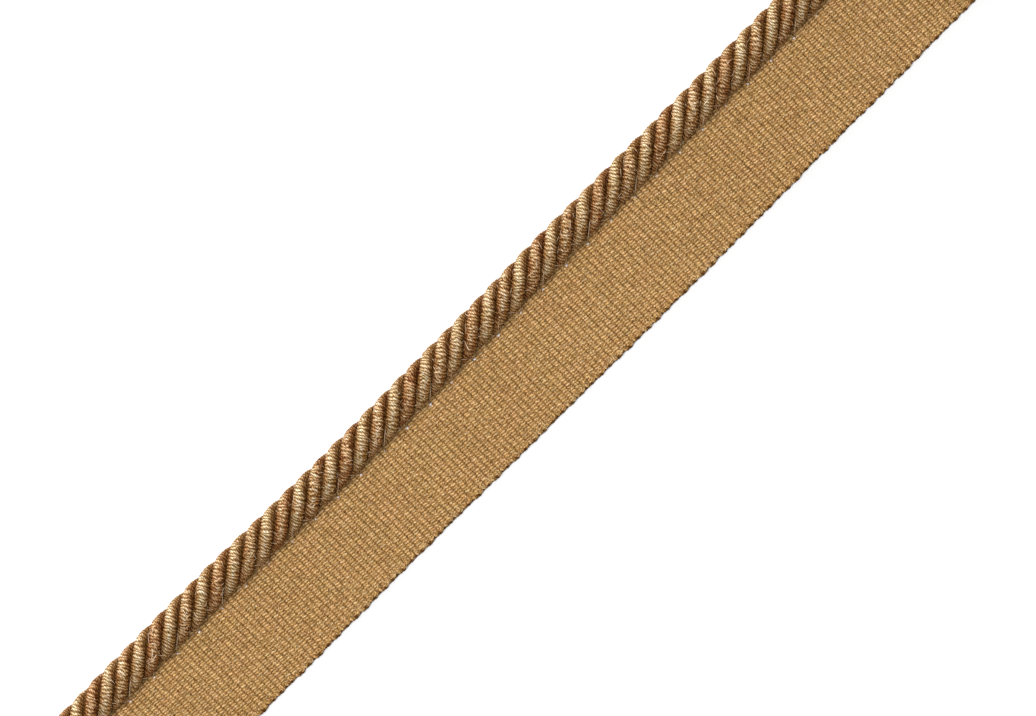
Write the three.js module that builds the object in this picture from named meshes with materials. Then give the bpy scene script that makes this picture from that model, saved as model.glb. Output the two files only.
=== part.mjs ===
// A cut length of flanged decorative cord: a four-strand twisted cord that lies along one edge of a
// flat woven tape. Millimetres, +Z up. X runs along the trim and Y across it, from the tape's outer
// selvedge to the cord. The origin is in the middle of the trim, on the surface that it lies on.
import * as THREE from "three";

// The whole trim
const CUT_LENGTH = 180;
const OVERALL_WIDTH = 19.8;
const CLEARANCE = 0.3; // between the cord and the tape that carries it

// The cord
const CORD_DIAMETER = 5.1; // over the strands' crests
const STRAND_COUNT = 4;
const STRAND_ORBIT = 1.55; // from the cord's centreline to a strand's
const LAY_LENGTH = 12.4; // one turn of a strand, which is left-handed
const FIRST_CREST_X = 1.4; // a strand's crest on the cord's outer side
const POINTS_PER_STRAND = 6;
const STEPS_PER_LAY = 14;

// The tape
const TAPE_THICKNESS = 1;
const TAPE_PAST_CORD = 0.6; // how far it reaches past the cord's centreline, underneath
const LOOP_PITCH = 1.82; // from one selvedge loop to the next
const LOOP_DEPTH = 0.28;
const POINTS_PER_LOOP = 4;

// How far the cord and the selvedge stray from straight, in Y, at places along X
const STRAY = [
  { x: -90, cord: 0.0, selvedge: 0.0 },
  { x: -58, cord: 0.16, selvedge: 0.03 },
  { x: -28, cord: -0.26, selvedge: 0.14 },
  { x: -2, cord: -0.06, selvedge: -0.04 },
  { x: 16, cord: 0.16, selvedge: -0.15 },
  { x: 38, cord: 0.12, selvedge: -0.08 },
  { x: 58, cord: 0.19, selvedge: 0.04 },
  { x: 90, cord: 0.05, selvedge: 0.14 },
];

const CORD_Y = (OVERALL_WIDTH - CORD_DIAMETER) / 2;
const CORD_Z = TAPE_THICKNESS + CLEARANCE + CORD_DIAMETER / 2;
const SELVEDGE_Y = -OVERALL_WIDTH / 2;

// A column of STRAY at x, eased from one row to the next.
function stray(column, x) {
  const next = STRAY.findIndex((row, i) => i > 0 && x <= row.x);
  const to = STRAY[next < 0 ? STRAY.length - 1 : next];
  const from = STRAY[STRAY.indexOf(to) - 1];
  const share = THREE.MathUtils.smoothstep(x, from.x, to.x);
  return THREE.MathUtils.lerp(from[column], to[column], share);
}

// How far the laid-up strands reach from the cord's centreline, at an angle from a strand's middle.
// A strand that runs aslant shows an ellipse in the cord's cross-section, wider than it is deep.
function strandReach(angle) {
  const deep = CORD_DIAMETER / 2 - STRAND_ORBIT;
  const slant = Math.atan((2 * Math.PI * STRAND_ORBIT) / LAY_LENGTH);
  const wide = deep / Math.cos(slant);
  const along = Math.cos(angle) / deep;
  const across = Math.sin(angle) / wide;
  const a = along ** 2 + across ** 2;
  const b = (along * STRAND_ORBIT) / deep;
  const c = (STRAND_ORBIT / deep) ** 2 - 1;
  return (b + Math.sqrt(b ** 2 - a * c)) / a;
}

// A closed body from rings of points with equal counts. Each ring runs anticlockwise as seen from +X,
// and the rings follow one another along X.
function ringsGeometry(rings) {
  const count = rings[0].length;
  const positions = rings.flat().flatMap((p) => [p.x, p.y, p.z]);
  const faces = [];
  for (let i = 0; i + 1 < rings.length; i++) {
    for (let j = 0; j < count; j++) {
      const a = i * count + j;
      const b = i * count + ((j + 1) % count);
      faces.push(a, b, b + count, a, b + count, a + count);
    }
  }
  const outline = rings[0].map((p) => new THREE.Vector2(p.y, p.z));
  const last = (rings.length - 1) * count;
  const lastOutline = rings[rings.length - 1].map((p) => new THREE.Vector2(p.y, p.z));
  for (const [a, b, c] of THREE.ShapeUtils.triangulateShape(outline, [])) {
    faces.push(a, c, b);
  }
  for (const [a, b, c] of THREE.ShapeUtils.triangulateShape(lastOutline, [])) {
    faces.push(last + a, last + b, last + c);
  }
  const geometry = new THREE.BufferGeometry();
  geometry.setAttribute("position", new THREE.Float32BufferAttribute(positions, 3));
  geometry.setIndex(faces);
  geometry.computeVertexNormals();
  return geometry;
}

// The cord: one body whose section has a lobe for each strand and turns once in each lay.
function cordGeometry() {
  const steps = Math.round((CUT_LENGTH / LAY_LENGTH) * STEPS_PER_LAY);
  const sectionPoints = STRAND_COUNT * POINTS_PER_STRAND;
  const strandAngle = (2 * Math.PI) / STRAND_COUNT;
  const rings = [];
  for (let i = 0; i <= steps; i++) {
    const x = CUT_LENGTH * (i / steps - 0.5);
    const turn = (-2 * Math.PI * (x - FIRST_CREST_X)) / LAY_LENGTH;
    const ring = [];
    for (let j = 0; j < sectionPoints; j++) {
      const fromMiddle = ((j % POINTS_PER_STRAND) / POINTS_PER_STRAND - 0.5) * strandAngle;
      const reach = strandReach(fromMiddle);
      const angle = turn + strandAngle * Math.floor(j / POINTS_PER_STRAND) + fromMiddle;
      const y = CORD_Y + stray("cord", x) + reach * Math.cos(angle);
      const z = CORD_Z + reach * Math.sin(angle);
      ring.push(new THREE.Vector3(x, y, z));
    }
    rings.push(ring);
  }
  return ringsGeometry(rings);
}

// The tape: a flat sheet with a straight edge under the cord and a looped selvedge.
function tapeGeometry() {
  const half = CUT_LENGTH / 2;
  const hiddenY = CORD_Y + TAPE_PAST_CORD;
  const steps = Math.round(CUT_LENGTH / LOOP_PITCH) * POINTS_PER_LOOP;
  const outline = new THREE.Shape();
  outline.moveTo(half, hiddenY);
  outline.lineTo(-half, hiddenY);
  for (let i = 0; i <= steps; i++) {
    const x = CUT_LENGTH * (i / steps - 0.5);
    const loop = Math.abs(Math.cos((Math.PI * i) / POINTS_PER_LOOP));
    outline.lineTo(x, SELVEDGE_Y + stray("selvedge", x) + LOOP_DEPTH * loop);
  }
  outline.closePath();
  return new THREE.ExtrudeGeometry(outline, { depth: TAPE_THICKNESS, bevelEnabled: false });
}

const cordMaterial = new THREE.MeshStandardMaterial({ color: 0xb08a5c, roughness: 0.7, metalness: 0 });
const tapeMaterial = new THREE.MeshStandardMaterial({ color: 0xae8756, roughness: 0.85, metalness: 0 });

const cord = new THREE.Mesh(cordGeometry(), cordMaterial);
cord.name = "cord";

const tape = new THREE.Mesh(tapeGeometry(), tapeMaterial);
tape.name = "tape";

const trim = new THREE.Group();
trim.add(tape, cord);

export default trim;
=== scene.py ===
"""Dresses a cut length of flanged decorative cord: four gimp-wrapped strands laid up into a cord, on a
ribbed woven tape with a looped selvedge, held by a clear zigzag thread. Everything is worked out from the
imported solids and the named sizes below, in metres, with X along the trim and the cord on the +Y side."""

import math

import bmesh
import bpy
import numpy as np
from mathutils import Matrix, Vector


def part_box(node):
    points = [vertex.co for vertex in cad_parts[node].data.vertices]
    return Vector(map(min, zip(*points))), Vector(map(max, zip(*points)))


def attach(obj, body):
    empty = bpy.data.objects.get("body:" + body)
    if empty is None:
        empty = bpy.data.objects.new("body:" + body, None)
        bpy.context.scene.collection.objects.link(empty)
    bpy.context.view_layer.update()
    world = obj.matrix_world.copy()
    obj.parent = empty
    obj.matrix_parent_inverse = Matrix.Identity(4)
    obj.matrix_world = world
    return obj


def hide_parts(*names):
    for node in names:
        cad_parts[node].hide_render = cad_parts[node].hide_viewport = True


MM = 0.001
TURN = 2 * math.pi

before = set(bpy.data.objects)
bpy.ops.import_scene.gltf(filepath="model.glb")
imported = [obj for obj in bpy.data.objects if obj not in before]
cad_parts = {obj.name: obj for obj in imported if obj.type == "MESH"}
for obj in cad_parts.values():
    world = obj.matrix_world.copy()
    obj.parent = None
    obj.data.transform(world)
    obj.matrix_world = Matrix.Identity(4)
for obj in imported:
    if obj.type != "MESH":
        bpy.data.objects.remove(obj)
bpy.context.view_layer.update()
cord_low, cord_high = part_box("cord")
_, tape_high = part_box("tape")

# The trim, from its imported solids
HALF_LENGTH = tape_high.x
TAPE_TOP = tape_high.z
CORD_DIAMETER = cord_high.z - cord_low.z
CORD_Z = (cord_high.z + cord_low.z) / 2
HIDDEN_EDGE_Y = tape_high.y
TAPE_PAST_CORD = 0.6 * MM
CORD_Y = HIDDEN_EDGE_Y - TAPE_PAST_CORD
SELVEDGE_Y = -9.9 * MM

# How far the cord and the selvedge stray from straight, in Y, at places along X, as in the solids
STRAY_X = np.array([-90, -58, -28, -2, 16, 38, 58, 90]) * MM
CORD_STRAY = np.array([0.0, 0.16, -0.26, -0.06, 0.16, 0.12, 0.19, 0.05]) * MM
SELVEDGE_STRAY = np.array([0.0, 0.03, 0.14, -0.04, -0.15, -0.08, 0.04, 0.14]) * MM

# The lay of the cord: left-handed, with a strand's crest on the outer side at FIRST_CREST_X
LAY_LENGTH = 12.4 * MM
FIRST_CREST_X = 1.4 * MM
STRAND_COUNT = 4
STRAND_ORBIT = 1.4 * MM
PROUD_THREADS = 0.09 * MM
STRAND_RADIUS = CORD_DIAMETER / 2 - STRAND_ORBIT - PROUD_THREADS
LAY_SLANT = math.atan(TURN * STRAND_ORBIT / LAY_LENGTH)

# A strand's section, as shares of its radius: a rounded square, deeper on the side that faces the middle of
# the cord. SEAM_PULL is how far the seam pulls the strands out toward the tape.
SECTION_POWER = 2.8
SECTION_WIDTH = 0.9
INNER_DEPTH = 1.35
SEAM_PULL = 0.3 * MM

# The wrap of each strand: one thread wound round and round, so it lies almost square across the strand.
# PLY_LENGTH is in millimetres along the thread, and SPARE_LENGTH is cut off at both ends.
WRAP_PITCH = 0.38 * MM
WRAP_DEPTH = 0.13 * MM
PLY_LENGTH = 0.46
THREAD_PROFILE = np.array([0.0, 0.8, 1.0, 0.8])
RINGS_PER_THREAD = len(THREAD_PROFILE)
STRAND_SEGMENTS = 20
SPARE_LENGTH = 3 * MM

# The weave of the tape, with the columns of points across each rib and the rows along each lengthwise end,
# some of them left out where the cord hides them
RIB_PITCH = 0.918 * MM
RIB_DEPTH = 0.13 * MM
RIB_COLUMNS = np.array([0, 0.23, 0.77])
COLUMNS_PER_RIB = len(RIB_COLUMNS)
FLOAT_LEAN = np.array([0, 0.05, -0.05]) * MM
END_PITCH = 0.41 * MM
END_DEPTH = 0.13 * MM
END_PROFILE = np.array([0.0, 0.5, 1.0, 0.5])
ROWS_PER_END = len(END_PROFILE)
SHOWN_ROWS = range(ROWS_PER_END)
HIDDEN_ROWS = (0, 2)
HIDDEN_ENDS = 7
UNDERSIDE_ROWS = 7
CLOTH_EDGE_Y = SELVEDGE_Y + 0.13 * MM
SELVEDGE_BAND = 0.95 * MM
BAND_DEPTH = 0.14 * MM

# The stitches pull the cloth up against the cord, over a stretch near its centreline
CLOTH_LIFT = 0.75 * MM
LIFT_HALF_WIDTH = 0.85 * MM
LIFT_FROM_CORD = -0.5 * MM

# The loops of the selvedge
LOOP_PITCH = 2 * RIB_PITCH
LOOP_WIDTH = 1.45 * MM
LOOP_HEIGHT = 0.66 * MM
LOOP_TOP = TAPE_TOP - 0.24 * MM
LOOP_DROP = 0.36 * MM
WEFT_RADIUS = 0.3 * MM
WEFT_PLIES = 3
WEFT_TWIST = 3.2 / MM

# The clear sewing thread, and the Y and Z of its way up from the tape over a strand, from the cord's centre
STITCH_PITCH = 4.49 * MM
STITCH_RADIUS = 0.032 * MM
FIRST_STITCH_X = 0.2 * MM
STITCH_CLIMB = MM * np.array(
    [(-3.18, -2.78), (-3.0, -1.9), (-2.84, -0.8), (-2.72, 0.1), (-2.45, 0.8), (-2.0, 1.3), (-1.3, 1.45)]
)

# Threads of the wrap that have worked loose, and stray fibres
LOOSE_THREADS = 420
LOOSE_RADIUS = 0.048 * MM
STRAY_FIBRES = 1100
FIBRE_RADIUS = 0.02 * MM

# The picture: how wide it is, the Y at its middle, and how far it is turned from the trim
PICTURE_WIDTH = 143.9 * MM
PICTURE_Y = -0.12 * MM
PICTURE_TURN = math.radians(-44.96)
LENS = 300
SENSOR_WIDTH = 36
FLOOR_HALF = 3.0
FLOOR_Z = -0.02 * MM


def fade(values, start, end):
    """0 up to start, 1 from end on, and in proportion between them."""
    return np.clip((values - start) / (end - start), 0, 1)


def stray(values, x):
    """How far a line strays at x, eased between the rows of the table."""
    at = np.clip(np.searchsorted(STRAY_X, x), 1, len(STRAY_X) - 1)
    share = fade(x, STRAY_X[at - 1], STRAY_X[at])
    eased = share * share * (3 - 2 * share)
    return values[at - 1] + (values[at] - values[at - 1]) * eased


def wander(rng, places, spacing, size):
    """A smooth random value at each place, of about that size, with a new draw every spacing."""
    low, high = places.min() - spacing, places.max() + spacing
    knots = np.arange(low, high + spacing, spacing)
    return np.interp(places, knots, rng.uniform(-size, size, len(knots)))


# Meshes


def mesh_object(name, points, faces, materials, values=None, smooth=True):
    """An object from arrays of points and of four-cornered faces, with a number or a vector per point
    for each name in values."""
    mesh = bpy.data.meshes.new(name)
    mesh.vertices.add(points.size // 3)
    mesh.vertices.foreach_set("co", np.asarray(points, np.float32).ravel())
    mesh.loops.add(faces.size)
    mesh.loops.foreach_set("vertex_index", np.asarray(faces, np.int32).ravel())
    mesh.polygons.add(len(faces))
    mesh.polygons.foreach_set("loop_start", np.arange(0, faces.size, faces.shape[1], dtype=np.int32))
    mesh.update(calc_edges=True)
    mesh.polygons.foreach_set("use_smooth", np.full(len(faces), smooth))
    for key, numbers in (values or {}).items():
        is_vector = numbers.size == points.size
        kind, field = ("FLOAT_VECTOR", "vector") if is_vector else ("FLOAT", "value")
        layer = mesh.attributes.new(key, kind, "POINT")
        layer.data.foreach_set(field, np.asarray(numbers, np.float32).ravel())
    for material in materials:
        mesh.materials.append(material)
    made = bpy.data.objects.new(name, mesh)
    bpy.context.scene.collection.objects.link(made)
    return made


def ring_faces(rings, count):
    """The faces between rings of points, where each ring is closed and has that many points."""
    row, column = np.meshgrid(np.arange(rings - 1), np.arange(count), indexing="ij")
    here, there = row * count + column, row * count + (column + 1) % count
    return np.stack([here, there, there + count, here + count], -1).reshape(-1, 4)


def wound_faces(rings):
    """The faces between rings of points that follow a wound thread. The last point of a ring is joined to
    the first one of the ring that the thread comes round to, a turn of the thread earlier."""
    turn, count = RINGS_PER_THREAD, STRAND_SEGMENTS
    row, column = np.meshgrid(np.arange(turn, rings - 1), np.arange(count), indexing="ij")
    here = row * count + column
    there = np.where(column < count - 1, here + 1, (row - turn) * count)
    return np.stack([here, there, there + count, here + count], -1).reshape(-1, 4)


def reshape(piece, change):
    """Makes a change to the piece's mesh and turns its faces outward."""
    mesh = bmesh.new()
    mesh.from_mesh(piece.data)
    change(mesh)
    bmesh.ops.recalc_face_normals(mesh, faces=mesh.faces)
    mesh.to_mesh(piece.data)
    mesh.free()


def close_ends(mesh):
    """Closes the open ends of a mesh, each with one flat face."""
    rim = [e for e in mesh.edges if e.is_boundary]
    for face in bmesh.ops.holes_fill(mesh, edges=rim, sides=0)["faces"]:
        face.smooth = False


def cut_square(mesh):
    """Cuts a mesh off at both ends of the trim and closes it there with its second material."""
    bmesh.ops.delete(mesh, geom=[v for v in mesh.verts if not v.link_faces], context="VERTS")
    for side in (-1, 1):
        everything = [*mesh.verts, *mesh.edges, *mesh.faces]
        plane = {"plane_co": (side * HALF_LENGTH, 0, 0), "plane_no": (side, 0, 0)}
        bmesh.ops.bisect_plane(mesh, geom=everything, dist=1e-9, clear_outer=True, **plane)
        rim = [e for e in mesh.edges if e.is_boundary and e.verts[0].co.x * side > HALF_LENGTH - 1e-6]
        for face in bmesh.ops.holes_fill(mesh, edges=rim, sides=0)["faces"]:
            face.material_index = 1
            face.smooth = False


def dress(piece, node):
    """The piece moves with the root body and stands for that solid, which is hidden."""
    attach(piece, "root")
    if node:
        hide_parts(node)


# Colours


def grey(value):
    """A grey as bright as that."""
    return (value, value, value, 1)


def linear(red, green, blue):
    """A colour given as 0 to 255 on a screen, as the shader takes it."""
    parts = [c / 255 for c in (red, green, blue)]
    return (*[p / 12.92 if p <= 0.04045 else ((p + 0.055) / 1.055) ** 2.4 for p in parts], 1)


BEIGE = [(0.0, linear(172, 144, 102)), (0.5, linear(238, 223, 194)), (1.0, linear(238, 238, 232))]
COPPER = [(0.0, linear(132, 87, 48)), (0.5, linear(218, 184, 146)), (1.0, linear(234, 227, 210))]
MIXED = [
    (0.0, linear(116, 80, 45)),
    (0.3, linear(198, 164, 122)),
    (0.6, linear(235, 215, 185)),
    (1.0, linear(238, 237, 230)),
]
TAPE = [(0.0, linear(153, 113, 60)), (0.5, linear(201, 162, 110)), (1.0, linear(228, 200, 162))]
CLEAR_AND_GLINT = [(0.0, linear(196, 166, 126)), (1.0, linear(244, 240, 248))]
CUT_COLOUR = linear(216, 182, 132)
CUT_FIBRE = [(0.35, (*[c * 0.45 for c in CUT_COLOUR[:3]], 1)), (0.65, CUT_COLOUR)]
FLOOR = [(0.4, grey(0.67)), (0.6, grey(0.69))]

# Shades, as what is left of each colour. The groove and flank shades are painted shade, though the wrap's
# grooves also show its dark core.
GROOVE = [(0.0, grey(1)), (0.5, (0.48, 0.38, 0.26, 1)), (1.0, (0.11, 0.06, 0.015, 1))]
TAPE_GROOVE = [(0.0, grey(1)), (0.5, (0.54, 0.46, 0.34, 1)), (1.0, (0.16, 0.1, 0.04, 1))]
FLANK_SHADE = [(0.0, grey(1)), (1.0, (0.58, 0.4, 0.22, 1))]
PLY_MARKS = [(0.0, (0.6, 0.5, 0.38, 1)), (0.35, grey(1))]
DYE_PATCHES = [(0.35, (1, 0.97, 0.95, 1)), (0.65, (0.97, 0.99, 0.93, 1))]
WORN_PATCHES = [(0.3, (0.96, 0.95, 0.94, 1)), (0.7, grey(1))]
FIBRE_STREAKS = [(0.3, grey(0.38)), (0.7, grey(1.32))]

# Each strand's name, the colours of its wrap, the tones of its threads in turn, and a random seed
STRANDS = [
    ("strand_copper", COPPER, (0.5, 0.56, 0.5, 0.56, 0.48), 11),
    ("strand_beige_a", BEIGE, (0.5, 0.57, 0.5, 0.6, 0.54), 12),
    ("strand_mixed", MIXED, (0.42, 0.6, 0.56, 0.46, 0.6), 13),
    ("strand_beige_b", BEIGE, (0.5, 0.57, 0.48, 0.57, 0.52), 14),
]


# Materials


class Look:
    """A material, and short ways to add the nodes that lead to its shader."""

    def __init__(self, name):
        self.material = bpy.data.materials.new(name)
        self.material.use_nodes = True
        self.tree = self.material.node_tree
        self.shader = self.tree.nodes["Principled BSDF"]

    def feed(self, node, inputs):
        """Gives a node its inputs: a plain value, or another node's output."""
        for key, value in inputs.items():
            if isinstance(value, bpy.types.NodeSocket):
                self.tree.links.new(value, node.inputs[key])
            else:
                node.inputs[key].default_value = value

    def node(self, kind, inputs, **settings):
        """A new node with those inputs and settings."""
        made = self.tree.nodes.new(kind)
        for name, setting in settings.items():
            setattr(made, name, setting)
        self.feed(made, inputs)
        return made

    def attribute(self, name, output="Fac"):
        """What the mesh holds under that name at each of its points."""
        return self.node("ShaderNodeAttribute", {}, attribute_name=name).outputs[output]

    def ramp(self, fac, stops):
        """A colour ramp over fac, with a stop for each (place, colour)."""
        node = self.node("ShaderNodeValToRGB", {"Fac": fac})
        while len(node.color_ramp.elements) < len(stops):
            node.color_ramp.elements.new(0.5)
        for element, (place, colour) in zip(node.color_ramp.elements, stops, strict=True):
            element.position = place
            element.color = colour
        return node.outputs["Color"]

    def shaded(self, colour, fac, stops):
        """A colour times a ramp over fac."""
        inputs = {"Factor": 1.0, "A": colour, "B": self.ramp(fac, stops)}
        node = self.node("ShaderNodeMix", inputs, data_type="RGBA", blend_type="MULTIPLY")
        return node.outputs["Result"]

    def math(self, operation, *values):
        """What that operation makes of one or two values."""
        node = self.node("ShaderNodeMath", dict(enumerate(values)), operation=operation)
        return node.outputs["Value"]

    def noise(self, scale, detail=3.0, stretch=(1, 1, 1), place=None):
        """Noise in the object's own metres, with scale in cells per millimetre, or in those of place."""
        over = place or self.node("ShaderNodeTexCoord", {}).outputs["Object"]
        mapping = self.node("ShaderNodeMapping", {"Vector": over, "Scale": stretch})
        inputs = {
            "Vector": mapping.outputs["Vector"],
            "Scale": scale if place else scale / MM,
            "Detail": detail,
        }
        return self.node("ShaderNodeTexNoise", inputs).outputs["Fac"]

    def dyed(self, colour):
        """The colour with faint reddish and olive patches, as uneven dyeing leaves them."""
        return self.shaded(colour, self.noise(0.6, 1.0), DYE_PATCHES)

    def bump(self, height, depth):
        """Relief of that depth."""
        return self.node("ShaderNodeBump", {"Height": height, "Distance": depth}).outputs["Normal"]

    def finish(self, inputs):
        """Gives the shader its inputs and returns the material."""
        self.feed(self.shader, inputs)
        return self.material


def wrap_material(name, stops):
    """Silky two-ply thread, coloured by its tone, with painted shade down the strand's flanks and a deeper
    brown down in the grooves, partly its dark core and partly painted shade.
    """
    look = Look(name)
    wound = look.attribute("wound", "Vector")
    speckle = look.noise(1.0, 2.0, (4.2, 1.6, 1), wound)
    specks = look.math("MULTIPLY", look.math("SUBTRACT", speckle, 0.5), 2.2)
    tone = look.math("ADD", look.attribute("tone"), specks)
    colour = look.dyed(look.ramp(tone, stops))

    # The thread's two plies show as short slanting marks along it
    slant = {0: wound, 1: (TURN / PLY_LENGTH, TURN, 0)}
    phase = look.node("ShaderNodeVectorMath", slant, operation="DOT_PRODUCT").outputs["Value"]
    plies = look.math("SINE", phase)
    colour = look.shaded(colour, plies, PLY_MARKS)
    # Painted shade down the strand's flanks, then darker in the grooves
    colour = look.shaded(colour, look.attribute("shade"), FLANK_SHADE)
    colour = look.shaded(colour, look.attribute("groove"), GROOVE)
    relief = look.bump(look.math("ADD", plies, speckle), 0.03 * MM)
    sheen = {"Roughness": 0.5, "Specular IOR Level": 0.06}
    return look.finish({"Base Color": colour, "Normal": relief, **sheen})


def tape_material(name):
    """Matt spun yarn, coloured by its tone, with painted shade down between the threads."""
    look = Look(name)
    colour = look.ramp(look.attribute("tone"), TAPE)
    colour = look.shaded(colour, look.noise(0.12), WORN_PATCHES)
    fibres = look.noise(5.5, 0.0, (1.3, 1, 1))
    colour = look.dyed(look.shaded(colour, fibres, FIBRE_STREAKS))
    colour = look.shaded(colour, look.attribute("groove"), TAPE_GROOVE)
    sheen = {"Roughness": 0.75, "Specular IOR Level": 0.05}
    return look.finish({"Base Color": colour, "Normal": look.bump(fibres, 0.035 * MM), **sheen})


def cut_material(name):
    """The cut ends of the cord's inner fibres."""
    look = Look(name)
    spots = look.noise(12, 2.0, (0.2, 1, 1))
    colour = look.ramp(spots, CUT_FIBRE)
    return look.finish({"Base Color": colour, "Normal": look.bump(spots, 0.08 * MM), "Roughness": 0.9})


def hair_material(name):
    """Fine stray fibres."""
    look = Look(name)
    return look.finish({"Base Color": look.ramp(look.attribute("tone"), MIXED), "Roughness": 0.6})


def clear_material():
    """Clear nylon, with a painted highlight where it bends."""
    look = Look("clear_nylon")
    colour = look.ramp(look.attribute("tone"), CLEAR_AND_GLINT)
    gloss = {"Roughness": 0.2, "IOR": 1.53, "Transmission Weight": 0.15}
    return look.finish({"Base Color": colour, **gloss})


def floor_material():
    """A pale matt floor, a little uneven."""
    look = Look("floor")
    colour = look.ramp(look.noise(0.02), FLOOR)
    return look.finish({"Base Color": colour, "Roughness": 0.9})


# The cord


def strand_points(number, along, around, radius):
    """Points on a strand's surface: along its own centreline, at an angle from the side that faces the
    middle of the cord, at a distance from the centreline."""
    x = along * math.cos(LAY_SLANT)
    turn = -TURN * (x - FIRST_CREST_X - number * LAY_LENGTH / STRAND_COUNT) / LAY_LENGTH
    # A strand lies a little longer on the cord's top than an even turn would
    turn = turn + 0.1 * np.sin(turn) ** 2 + 0.05 * np.sin(2 * turn)
    flat = np.zeros_like(turn)
    out = np.stack([flat, np.cos(turn), np.sin(turn)], -1)
    swirl = np.stack([flat, np.sin(turn), -np.cos(turn)], -1)
    ahead = math.sin(LAY_SLANT) * swirl + (math.cos(LAY_SLANT), 0, 0)
    side = np.cross(ahead, out)
    middle = np.stack([x, CORD_Y + stray(CORD_STRAY, x), np.full_like(x, CORD_Z)], -1)
    inward, sideways = radius * np.cos(around), radius * np.sin(around)
    return middle + out * (STRAND_ORBIT - inward[..., None]) - side * sideways[..., None]


def wrap_turns(rng, place, angle, plies):
    """The height and tone of each turn of the thread, at each angle, and the sway of each ring along the
    strand, in turns of the thread."""
    threads = len(place) // RINGS_PER_THREAD
    grid = (threads, len(angle))
    height = 1 + rng.uniform(-0.08, 0.04, threads)[:, None] + rng.normal(0, 0.05, grid)
    sway = np.zeros((len(place), len(angle)))
    for wave in range(1, 7):
        for curve in (np.cos, np.sin):
            draws = rng.uniform(-0.3, 0.3, threads)
            size = np.interp(place, np.arange(threads) + 0.5, draws) / math.sqrt(wave)
            sway += size[:, None] * curve(wave * angle)
    specks = rng.normal(0, 0.1, grid)
    specks = specks + np.roll(specks, 1, 1)
    tone = np.resize(plies, threads)[:, None] + rng.normal(0, 0.05, (threads, 1)) + specks
    return height, tone, sway


def strand_reach(angle, thick, relief):
    """How far a strand's surface is from its centreline, at those angles, where its section is that thick
    and its threads stand out by relief. Its inner side is squeezed between its neighbours and reaches the
    middle of the cord."""
    outward, wide = -np.cos(angle), np.abs(np.sin(angle))
    deep = np.abs(outward) / np.where(outward > 0, 1, INNER_DEPTH)
    section = (deep**SECTION_POWER + (wide / SECTION_WIDTH) ** SECTION_POWER) ** (-1 / SECTION_POWER)
    squeeze = math.cos(LAY_SLANT)
    room = STRAND_ORBIT * squeeze / np.maximum(wide + squeeze * np.maximum(-outward, 0), 0.1)
    return np.minimum(STRAND_RADIUS * thick * section + relief, room)


def strand_shade(angle, seam):
    """Painted shade on a strand: down its flanks, more so on the lower one as it nears the seam with the
    tape, and along both sides of the cord. seam is the distance from the cord's centreline toward the tape."""
    near = fade(seam, 0.2 * MM, 1.6 * MM)
    down = angle - math.pi
    upper_flank = fade(-down, 0.3 + 0.4 * near, 0.8 + 0.4 * near)
    lower_flank = fade(down, 0.08 - 0.55 * near, 0.88 - 0.85 * near)
    seam_side = 0.9 * fade(seam, 1.7 * MM, 2.5 * MM)
    outer_side = 0.9 * fade(-seam, 2.15 * MM, 2.375 * MM)
    return np.maximum.reduce([upper_flank, lower_flank, seam_side, outer_side])


def strand(number, name, stops, plies, seed):
    """One strand with its wrap. Its rings of points follow the wound thread, and the steps from turn to
    turn are on the hidden side."""
    rng = np.random.default_rng(seed)
    length = 2 * (HALF_LENGTH + SPARE_LENGTH) / math.cos(LAY_SLANT)
    threads = math.ceil(length / WRAP_PITCH) + 1
    thread, part = np.divmod(np.arange(threads * RINGS_PER_THREAD), RINGS_PER_THREAD)
    place = thread + part / RINGS_PER_THREAD
    # The points of a ring are closest together on the outer side, which shows
    even = TURN * np.arange(STRAND_SEGMENTS) / STRAND_SEGMENTS
    angle = even + 0.4 * np.sin(even)

    height, tone, sway = wrap_turns(rng, place, angle, plies)
    along = (place[:, None] - angle / TURN + sway) * WRAP_PITCH - length / 2
    thick = 1 + wander(rng, along, 3.5 * MM, 0.03)
    relief = WRAP_DEPTH * (THREAD_PROFILE[part][:, None] * height[thread] - 1)
    points = strand_points(number, along, angle, strand_reach(angle, thick, relief))
    centre = CORD_Y + stray(CORD_STRAY, points[..., 0])
    points[..., 1] -= SEAM_PULL * fade(centre - points[..., 1], 1.2 * MM, 2.4 * MM)

    # It is darkest between two turns of the thread, partly the dark core that shows there and partly
    # painted shade, and the bright middle of each turn is painted narrower down the strand's flanks, as
    # painted shade.
    painted_flank_shade = fade(np.abs(angle - math.pi), 0, 1.2) ** 1.5
    groove = 0.45 + 0.4 * painted_flank_shade + rng.uniform(-0.12, 0.12, height.shape)[thread]
    groove[part == 0] = 0.92
    groove[part == 2] = 0.3 * painted_flank_shade
    around_mm = angle * STRAND_RADIUS / MM
    values = {
        "tone": np.clip(tone[thread], 0, 1),
        "groove": np.clip(groove, 0, 1),
        "shade": strand_shade(angle, centre - points[..., 1]),
        "wound": np.stack(np.broadcast_arrays(around_mm, place[:, None], 7.3 * seed), -1),
    }
    materials = [wrap_material(name, stops), cut_material(name + "_cut")]
    made = mesh_object(name, points, wound_faces(len(place)), materials, values)
    reshape(made, cut_square)
    return made


# The tape


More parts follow.
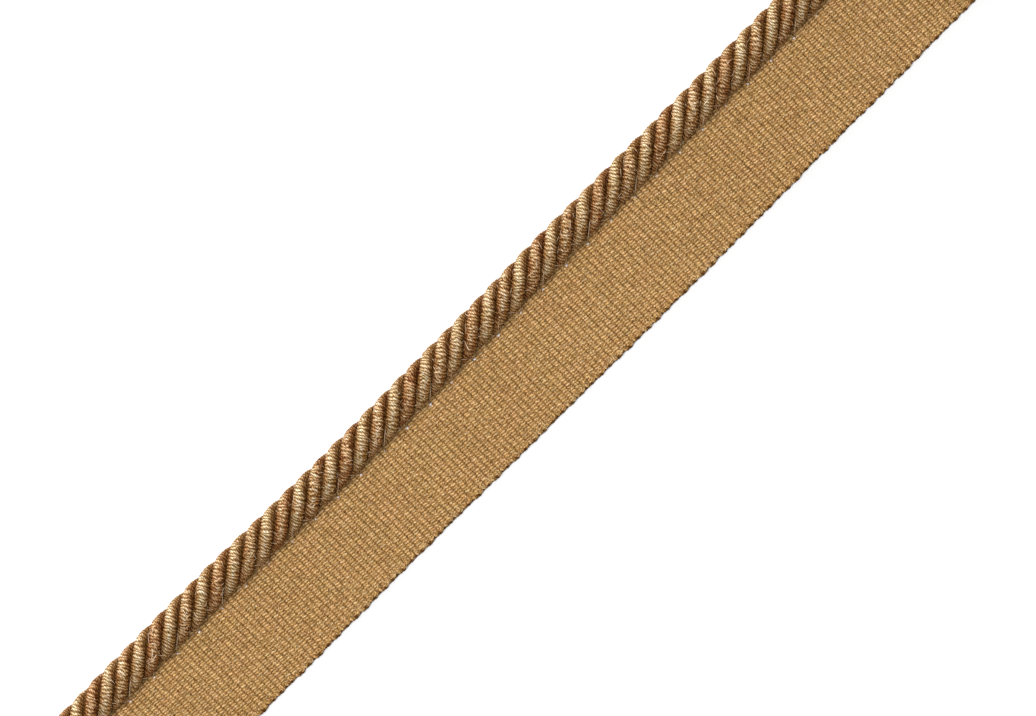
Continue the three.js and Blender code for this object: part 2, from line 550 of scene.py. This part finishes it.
def tape_cloth():
    """The woven sheet: ribs across it, each covered by the floats of the lengthwise ends."""
    rng = np.random.default_rng(21)
    ribs = round(2 * HALF_LENGTH / RIB_PITCH)
    ends = round((HIDDEN_EDGE_Y - CLOTH_EDGE_Y) / END_PITCH)
    crossings = (ribs + 1, ends + 1)
    rib, rib_part = np.divmod(np.arange(ribs * COLUMNS_PER_RIB + 1), COLUMNS_PER_RIB)
    rows = [(i, part) for i in range(ends) for part in (HIDDEN_ROWS if i < HIDDEN_ENDS else SHOWN_ROWS)]
    end, end_part = np.array([*rows, (ends, 0)]).T

    def at_points(values):
        """From a value for each crossing of a rib and an end, the value at each point."""
        return values[rib][:, end]

    even_x = (rib + RIB_COLUMNS[rib_part]) / ribs * 2 * HALF_LENGTH - HALF_LENGTH
    edge = CLOTH_EDGE_Y + stray(SELVEDGE_STRAY, even_x)[:, None]
    y = HIDDEN_EDGE_Y + (edge - HIDDEN_EDGE_Y) * ((end + end_part / ROWS_PER_END) / ends)
    y = y + rng.normal(0, 0.012 * MM, y.shape) + at_points(rng.normal(0, 0.028 * MM, crossings))
    y = y + FLOAT_LEAN[rib_part][:, None]
    x = np.repeat(even_x[:, None], len(end), 1)
    # Between the ribs at the cut ends, the ribs bow and their floats differ in length
    between = slice(COLUMNS_PER_RIB, -COLUMNS_PER_RIB)
    bow = wander(rng, y[0], 3 * MM, 0.05 * MM)
    x[between] += bow + rng.normal(0, 0.045 * MM, (len(rib[between]), ends + 1))[:, end]

    # Every other float of a rib stands higher, as the ends pass over and under in turn
    over = np.add.outer(np.arange(ribs + 1), np.arange(ends + 1)) % 2 > 0
    lift = at_points(np.where(over, 1.15, 0.75) * rng.uniform(0.8, 1.15, crossings))
    bright = at_points(np.where(over, 0.59, 0.43) + rng.normal(0, 0.05, crossings))
    rib_top = (rib_part > 0)[:, None] * 1.0
    end_top = END_PROFILE[end_part]
    from_edge = y - edge
    band = 1 - fade(from_edge, SELVEDGE_BAND - 0.3 * MM, SELVEDGE_BAND)
    relief = RIB_DEPTH * rib_top + END_DEPTH * end_top * rib_top * lift
    top = TAPE_TOP - RIB_DEPTH - 0.6 * END_DEPTH + relief - BAND_DEPTH * band
    from_lift = y - CORD_Y - stray(CORD_STRAY, x) - LIFT_FROM_CORD
    top = top + CLOTH_LIFT * np.exp(-((from_lift / LIFT_HALF_WIDTH) ** 4))
    # The crest of each float is painted lighter, as a painted highlight
    tone = bright + 0.15 * (end_top == 1)
    # Painted shade down between the ribs and between the floats
    groove = 1 - (0.4 + 0.6 * rib_top) * (0.36 + 0.64 * end_top) - 0.1 * band
    groove = groove * at_points(rng.uniform(0.85, 1.15, crossings))
    # Painted shade along the cloth's outer edge
    groove = groove + 1 - fade(from_edge, 0.15 * MM, 0.25 * MM)

    # The underside has the ribs alone, on few rows, and stays on the surface at its lowest
    under_y = HIDDEN_EDGE_Y + (edge - HIDDEN_EDGE_Y) * np.linspace(1, 0, UNDERSIDE_ROWS)
    under_z = np.where(rib_part > 0, 0, 0.08 * MM)[:, None]
    rounds = [
        (x, y, top),
        (x[:, -1:], edge - 0.12 * MM, TAPE_TOP / 2),
        (x[:, :1], under_y, under_z),
        (x[:, :1], HIDDEN_EDGE_Y, TAPE_TOP / 2),
    ]
    points = np.concatenate([np.stack(np.broadcast_arrays(*part), -1) for part in rounds], 1)
    columns, count, _ = points.shape

    def all_round(values, outermost, underneath):
        """Those values on the top, then one for the selvedge's edge and one for the underside."""
        rest = np.full((columns, count - len(end)), underneath)
        rest[:, 0] = outermost
        return np.clip(np.concatenate([values, rest], 1), 0, 1)

    # The selvedge's edge ring is painted fully dark and the underside partly, as painted shade
    values = {"tone": all_round(tone, 0.3, 0.45), "groove": all_round(groove, 1.0, 0.3)}
    faces = ring_faces(columns, count)
    cloth = mesh_object("tape_cloth", points, faces, [tape_material("tape_weave")], values)
    reshape(cloth, close_ends)
    return cloth


# Yarns and threads


def sides_of(run):
    """Two directions square to a run of points at each of them, which turn only as the run bends."""
    ahead = np.gradient(run, axis=0)
    ahead /= np.linalg.norm(ahead, axis=1, keepdims=True)
    last = np.cross((0, 0, 1), ahead[0])
    if np.linalg.norm(last) < 1e-3:
        last = np.array((0.0, 1.0, 0.0))
    side = np.zeros_like(ahead)
    for i, way in enumerate(ahead):
        last = last - way * (last @ way)
        last = last / np.linalg.norm(last)
        side[i] = last
    return side, np.cross(ahead, side)


def tubes(name, runs, radii, sides, material, tones, plies=0, twist=0.0, painted_shade=None):
    """One mesh of round or plied yarns, one along each run of points, closed at both ends. painted_shade
    gives how much painted shade the yarn has at each of its points, from 0 to 1, and plied yarn also gets
    painted shade between its plies."""
    points, faces, tone, groove = [], [], [], []
    angle = TURN * np.arange(sides) / sides
    start = 0
    for run, radius, run_tone in zip(runs, np.broadcast_to(radii, len(runs)), tones, strict=True):
        side, up = sides_of(run)
        far = np.concatenate([[0], np.cumsum(np.linalg.norm(np.diff(run, axis=0), axis=1))])
        wave = np.cos(plies * (angle - far[:, None] * twist)) if plies else np.zeros((len(run), sides))
        ring = side[:, None] * np.cos(angle)[:, None] + up[:, None] * np.sin(angle)[:, None]
        surface = run[:, None] + ring * radius * (1 + 0.16 * wave)[..., None]
        points.append(surface.reshape(-1, 3))
        faces.append(start + ring_faces(len(run), sides))
        tone.append(np.full(wave.size, run_tone))
        # Painted shade, and painted shade between the plies
        shade = painted_shade(surface) if painted_shade else np.zeros(wave.shape)
        if plies:
            shade = np.maximum(shade, 0.3 * (1 - wave))
        groove.append(shade.ravel())
        start += wave.size
    values = {"tone": np.concatenate(tone), "groove": np.clip(np.concatenate(groove), 0, 1)}
    made = mesh_object(name, np.concatenate(points), np.concatenate(faces), [material], values)
    reshape(made, close_ends)
    return made


def selvedge():
    """The weft's turns along the tape's outer edge: one loop for each two ribs, which lies on the cloth
    and bends down over its edge."""
    rng = np.random.default_rng(31)
    count = round(2 * HALF_LENGTH / LOOP_PITCH)
    pitch = 2 * HALF_LENGTH / count
    bend = np.radians(np.linspace(125, 415, 21))
    # A loop lies flat on the cloth and bends down where it comes to the edge
    z = LOOP_TOP - LOOP_DROP * np.clip(-0.45 - 1.45 * np.sin(bend), 0, 1) ** 2
    runs = []
    for i in range(count):
        x = -HALF_LENGTH + (i + 0.5) * pitch + rng.normal(0, 0.07 * MM)
        wide = LOOP_WIDTH / 2 * rng.uniform(0.92, 1.08)
        high = LOOP_HEIGHT / 2 * rng.uniform(0.9, 1.1)
        outermost = SELVEDGE_Y + stray(SELVEDGE_STRAY, x) + rng.uniform(-0.2, -0.04) * MM
        lean = rng.normal(-0.1, 0.25)
        inward = high * np.sin(bend)
        y = outermost + WEFT_RADIUS + high + inward
        runs.append(np.stack([x + wide * np.cos(bend) + lean * inward, y, z], -1))
    tones = rng.uniform(0.35, 0.7, count)

    def painted_low_shade(points):
        """Painted shade where the yarn is well below the tape's top."""
        return fade(TAPE_TOP - points[..., 2], 0.1 * MM, 0.25 * MM)

    yarn = tape_material("weft_yarn")
    return tubes("selvedge_loops", runs, WEFT_RADIUS, 9, yarn, tones, WEFT_PLIES, WEFT_TWIST, painted_low_shade)


def stitching():
    """The clear thread that zigzags from the tape up into the cord's strands, with a tight bend where
    it goes down into the tape."""
    rng = np.random.default_rng(41)
    low, high = STITCH_CLIMB[0, 0], STITCH_CLIMB[-1, 0]
    half_step = (STITCH_CLIMB[:, 0] - low) / (high - low) * STITCH_PITCH / 2
    legs, bends = [], []
    stitches = round(2 * HALF_LENGTH / STITCH_PITCH) - 1
    for i in range(-(stitches // 2), stitches // 2 + 1):
        x = FIRST_STITCH_X + i * STITCH_PITCH + rng.normal(0, 0.1 * MM)
        for way in (-1, 1):
            legs.append(np.column_stack([x + way * half_step, STITCH_CLIMB])[::way])
        turn = np.linspace(-1.2, 1.2, 5) + rng.normal(0, 0.3)
        size = rng.uniform(0.1, 0.17) * MM
        bottom = np.array([x, CORD_Y + stray(CORD_STRAY, x) + low, TAPE_TOP + 0.06 * MM])
        bends.append(bottom + np.stack([np.sin(turn), -np.cos(turn), 0.2 * np.cos(turn)], -1) * size)
    run = np.concatenate(legs)
    run[:, 1] += CORD_Y + stray(CORD_STRAY, run[:, 0])
    run[:, 2] += CORD_Z
    run = run[np.abs(run[:, 0]) < HALF_LENGTH]
    apart = np.linalg.norm(np.diff(run, axis=0), axis=1) > 0.01 * MM
    run = run[np.concatenate([[True], apart])]
    radii = [STITCH_RADIUS, *rng.uniform(0.06, 0.16, len(bends)) * MM]
    # The bends get lighter tones, a painted highlight where the clear thread glints
    tones = [0.1, *rng.uniform(0.1, 1.0, len(bends))]
    return tubes("clear_stitching", [run, *bends], radii, 6, clear_material(), tones)


def strand_place(rng, low, high):
    """A random place on the cord: a strand, and how far along it so that it faces between two angles
    from the cord's outer side."""
    number = int(rng.integers(STRAND_COUNT))
    lays = math.floor(2 * HALF_LENGTH / LAY_LENGTH) - 1
    lay = int(rng.integers(lays)) - lays // 2
    x = FIRST_CREST_X + (number / STRAND_COUNT + lay - rng.uniform(low, high) / TURN) * LAY_LENGTH
    return number, x / math.cos(LAY_SLANT)


def loose_threads():
    """Turns of the wrap that have worked loose, three in four of them along the seam with the tape."""
    rng = np.random.default_rng(51)
    steps = np.linspace(0, 1, 8)
    arch = np.sin(math.pi * steps)
    runs, tones = [], []
    for i in range(LOOSE_THREADS):
        seam = i % 4 > 0
        facing = (math.pi - 0.9, math.pi + 0.5) if seam else (0.2, math.pi - 0.6)
        number, along = strand_place(rng, *facing)
        around = math.pi + rng.uniform(-1.2, 0.4) + rng.uniform(0.6, 1.4) * steps
        slip = rng.uniform(-1.1, 1.1) * MM * steps + rng.uniform(-0.15, 0.15) * MM * arch
        reach = STRAND_RADIUS - 0.08 * MM + rng.uniform(0.02, 0.2) * MM * arch
        runs.append(strand_points(number, along + slip, around, reach))
        tones.append(rng.uniform(0.0, 0.5) if seam else rng.uniform(0.05, 0.35))
    return tubes("loose_threads", runs, LOOSE_RADIUS, 5, hair_material("loose_thread"), tones)


def stray_fibres():
    """Fine fibres that stand off the cord all round."""
    rng = np.random.default_rng(61)
    steps = np.linspace(0, 1, 6)
    runs, tones = [], []
    for _ in range(STRAY_FIBRES):
        number, along = strand_place(rng, 0, TURN)
        around = math.pi + rng.uniform(-1.3, 1.3) + rng.uniform(-0.9, 0.9) * steps
        slip = rng.uniform(-1.3, 1.3) * MM * steps + rng.uniform(-0.4, 0.4) * MM * steps**2
        reach = STRAND_RADIUS - 0.1 * MM + rng.uniform(0.1, 0.5) * MM * steps ** rng.uniform(0.5, 2)
        runs.append(strand_points(number, along + slip, around, reach))
        tones.append(rng.uniform(0, 0.7))
    return tubes("stray_fibres", runs, FIBRE_RADIUS, 3, hair_material("stray_fibre"), tones)


# Camera, floor and light


def make_camera():
    """Looks straight down at the middle of the trim, which runs from lower left to upper right."""
    data = bpy.data.cameras.new("camera")
    data.lens = LENS
    data.sensor_width = SENSOR_WIDTH
    made = bpy.data.objects.new("camera", data)
    made.location = (0, PICTURE_Y, TAPE_TOP + PICTURE_WIDTH * LENS / SENSOR_WIDTH)
    made.rotation_euler = (0, 0, PICTURE_TURN)
    bpy.context.scene.collection.objects.link(made)
    bpy.context.scene.camera = made


def area_light(name, place, size, power):
    """A round light that faces the middle of the trim."""
    data = bpy.data.lights.new(name, "AREA")
    data.shape = "DISK"
    data.size = size
    data.energy = power
    made = bpy.data.objects.new(name, data)
    made.location = place
    made.rotation_euler = (-Vector(place)).to_track_quat("-Z", "Y").to_euler()
    bpy.context.scene.collection.objects.link(made)


def make_studio():
    """A pale floor, soft light from above and a low light on the cord's side, which is the picture's
    upper left."""
    sides = [(-1, -1), (1, -1), (1, 1), (-1, 1)]
    corners = np.array([(x * FLOOR_HALF, y * FLOOR_HALF, FLOOR_Z) for x, y in sides])
    floor = mesh_object("floor", corners, np.array([[0, 1, 2, 3]]), [floor_material()], smooth=False)
    area_light("key", (-0.21, 0.14, 1.2), size=0.5, power=19)
    area_light("side", (-0.15, 1.19, 0.28), size=0.3, power=24)
    world = bpy.data.worlds.new("world")
    world.use_nodes = True
    background = world.node_tree.nodes["Background"]
    background.inputs["Color"].default_value = grey(1)
    background.inputs["Strength"].default_value = 0.3
    bpy.context.scene.world = world
    bpy.context.scene.view_settings.view_transform = "Standard"


make_camera()
make_studio()

strands = [strand(i, *row) for i, row in enumerate(STRANDS)]
for piece in strands:
    dress(piece, "cord")

cloth = tape_cloth()
loops = selvedge()
dress(cloth, "tape")
dress(loops, None)

for piece in (stitching(), loose_threads(), stray_fibres()):
    dress(piece, None)
